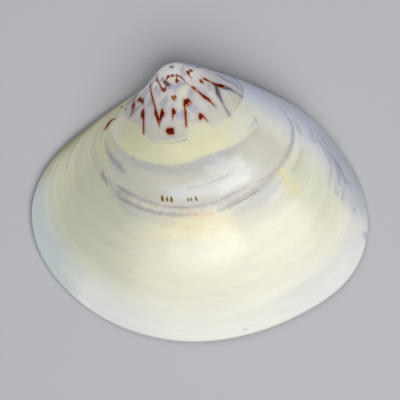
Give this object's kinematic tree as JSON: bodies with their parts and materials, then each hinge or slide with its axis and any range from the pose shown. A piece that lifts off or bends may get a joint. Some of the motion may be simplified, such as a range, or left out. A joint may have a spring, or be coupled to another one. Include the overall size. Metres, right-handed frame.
{
  "type": "clam shell valve",
  "caption": "Left valve of a smooth hard clam: glossy domed outside with growth lines and a marked beak, hollow underneath with a hinge plate.",
  "frame": {"origin": "middle of the valve's box in X and Y, on the plane that the edge of the shell rests on", "axes": "+X towards the posterior end (the longest way), +Y towards the hinge and the beak, +Z towards the domed outside"},
  "size_m": [0.0704, 0.0582, 0.0161],
  "materials": {
    "shell": "naturally polished shell, cream with white edge, lilac growth bands and brown marks on the beak"
  },
  "bodies": {
    "root": {"left_valve": "shell"}
  },
  "joints": []
}
